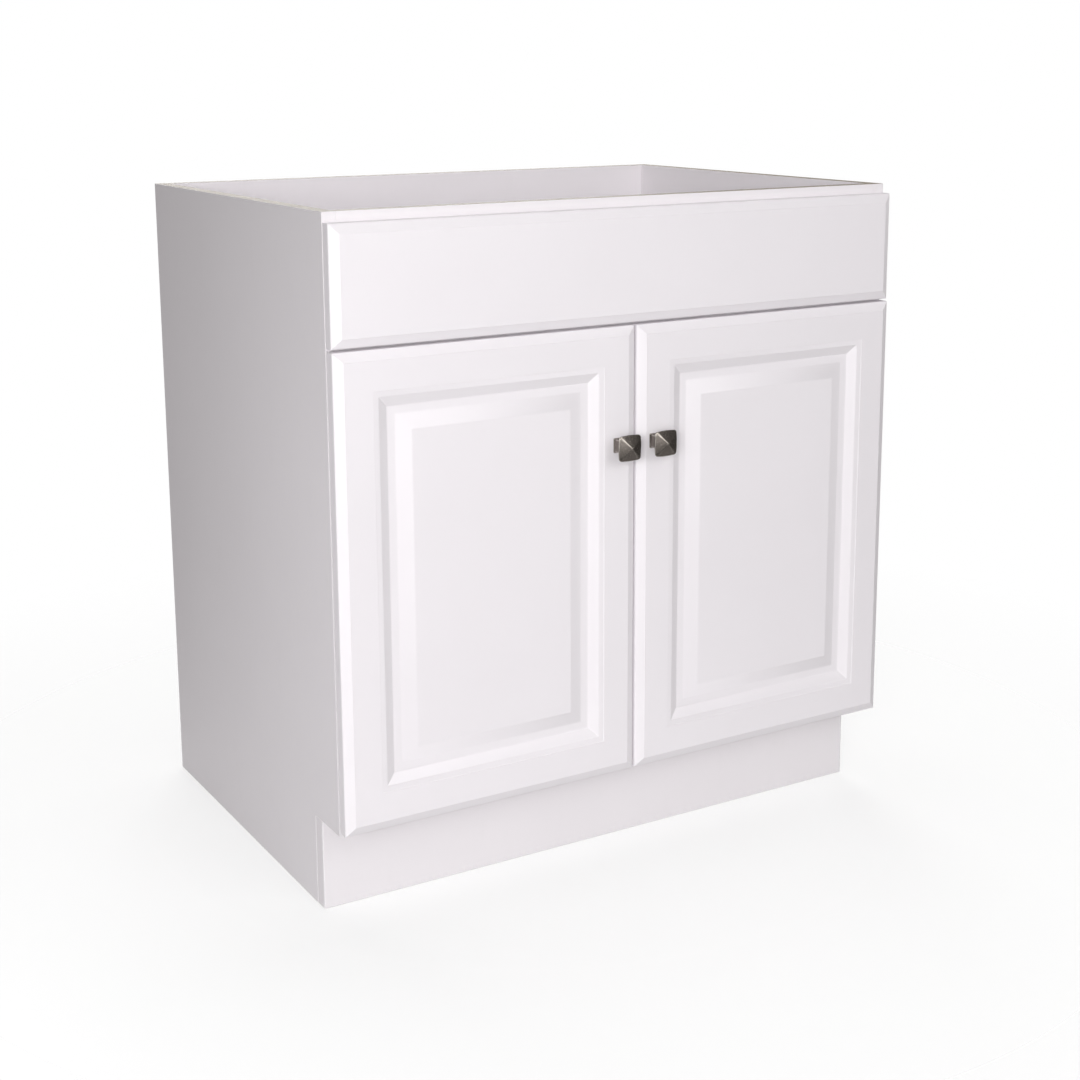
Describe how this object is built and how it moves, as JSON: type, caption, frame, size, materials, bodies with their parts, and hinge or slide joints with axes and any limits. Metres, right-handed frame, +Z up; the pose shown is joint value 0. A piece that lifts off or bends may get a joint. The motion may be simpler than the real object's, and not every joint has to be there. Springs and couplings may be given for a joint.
{
  "type": "bathroom vanity cabinet",
  "caption": "White bathroom vanity base with raised-panel doors on concealed hinges, false drawer front, toe kick, open top and pyramid knobs.",
  "frame": {"origin": "centre of the bounding box at floor level", "axes": "+Z up, the doors face -Y, +X towards the right-hand door as seen from the front"},
  "size_m": [0.762, 0.582, 0.8001],
  "materials": {
    "front_white": "satin white film over a moulded board",
    "carcass_white": "smooth white laminate",
    "zinc": "dull zinc",
    "nickel": "nickel plate",
    "knob_pewter": "dark antique plate, bright on the edges",
    "beech": "bare fluted beech",
    "bracket_plastic": "moulded white",
    "bumper_clear": "soft translucent"
  },
  "bodies": {
    "carcass": {"left_side_panel": "carcass_white", "right_side_panel": "carcass_white", "bottom_panel": "carcass_white", "toe_kick_board": "carcass_white", "top_front_rail": "carcass_white", "mid_front_rail": "carcass_white", "back_top_rail": "carcass_white", "back_bottom_rail": "carcass_white", "corner_blocks": "carcass_white", "false_front": "front_white", "false_front_screws": "zinc", "corner_block_screws": "zinc", "toe_kick_screws": "zinc", "cam_locks": "zinc", "cam_bolts": "zinc", "toe_kick_brackets": "bracket_plastic", "dowels": "beech", "left_hinge_plates": "nickel", "left_hinge_plate_screws": "nickel", "left_hinge_arms": "nickel", "left_hinge_arm_screws": "nickel", "left_hinge_arm_pins": "nickel", "right_hinge_plates": "nickel", "right_hinge_plate_screws": "nickel", "right_hinge_arms": "nickel", "right_hinge_arm_screws": "nickel", "right_hinge_arm_pins": "nickel"},
    "left_links": {"left_hinge_links": "nickel"},
    "left_door": {"left_door": "front_white", "left_hinge_cups": "nickel", "left_hinge_cup_pins": "nickel", "left_hinge_cup_screws": "nickel", "left_door_bumpers": "bumper_clear", "left_knob_head": "knob_pewter", "left_knob_post": "knob_pewter", "left_knob_screw": "zinc"},
    "right_links": {"right_hinge_links": "nickel"},
    "right_door": {"right_door": "front_white", "right_hinge_cups": "nickel", "right_hinge_cup_pins": "nickel", "right_hinge_cup_screws": "nickel", "right_door_bumpers": "bumper_clear", "right_knob_head": "knob_pewter", "right_knob_post": "knob_pewter", "right_knob_screw": "zinc"}
  },
  "joints": [
    {"name": "left_link_turn", "type": "hinge", "parent": "carcass", "child": "left_links", "pos_m": [-0.3465, -0.25145, 0.3832], "axis": [0, 0, 1], "range_deg": [0, 52.5]},
    {"name": "left_door_turn", "type": "hinge", "parent": "left_links", "child": "left_door", "pos_m": [-0.367, -0.24545, 0.3832], "axis": [0, 0, 1], "range_deg": [-157.5, 0]},
    {"name": "right_link_turn", "type": "hinge", "parent": "carcass", "child": "right_links", "pos_m": [0.3465, -0.25145, 0.3832], "axis": [0, 0, 1], "range_deg": [-52.5, 0]},
    {"name": "right_door_turn", "type": "hinge", "parent": "right_links", "child": "right_door", "pos_m": [0.367, -0.24545, 0.3832], "axis": [0, 0, 1], "range_deg": [0, 157.5]}
  ],
  "couplings": [
    {"joint": "left_link_turn", "follows": "left_door_turn", "ratio": -0.33333},
    {"joint": "right_link_turn", "follows": "right_door_turn", "ratio": -0.33333}
  ]
}
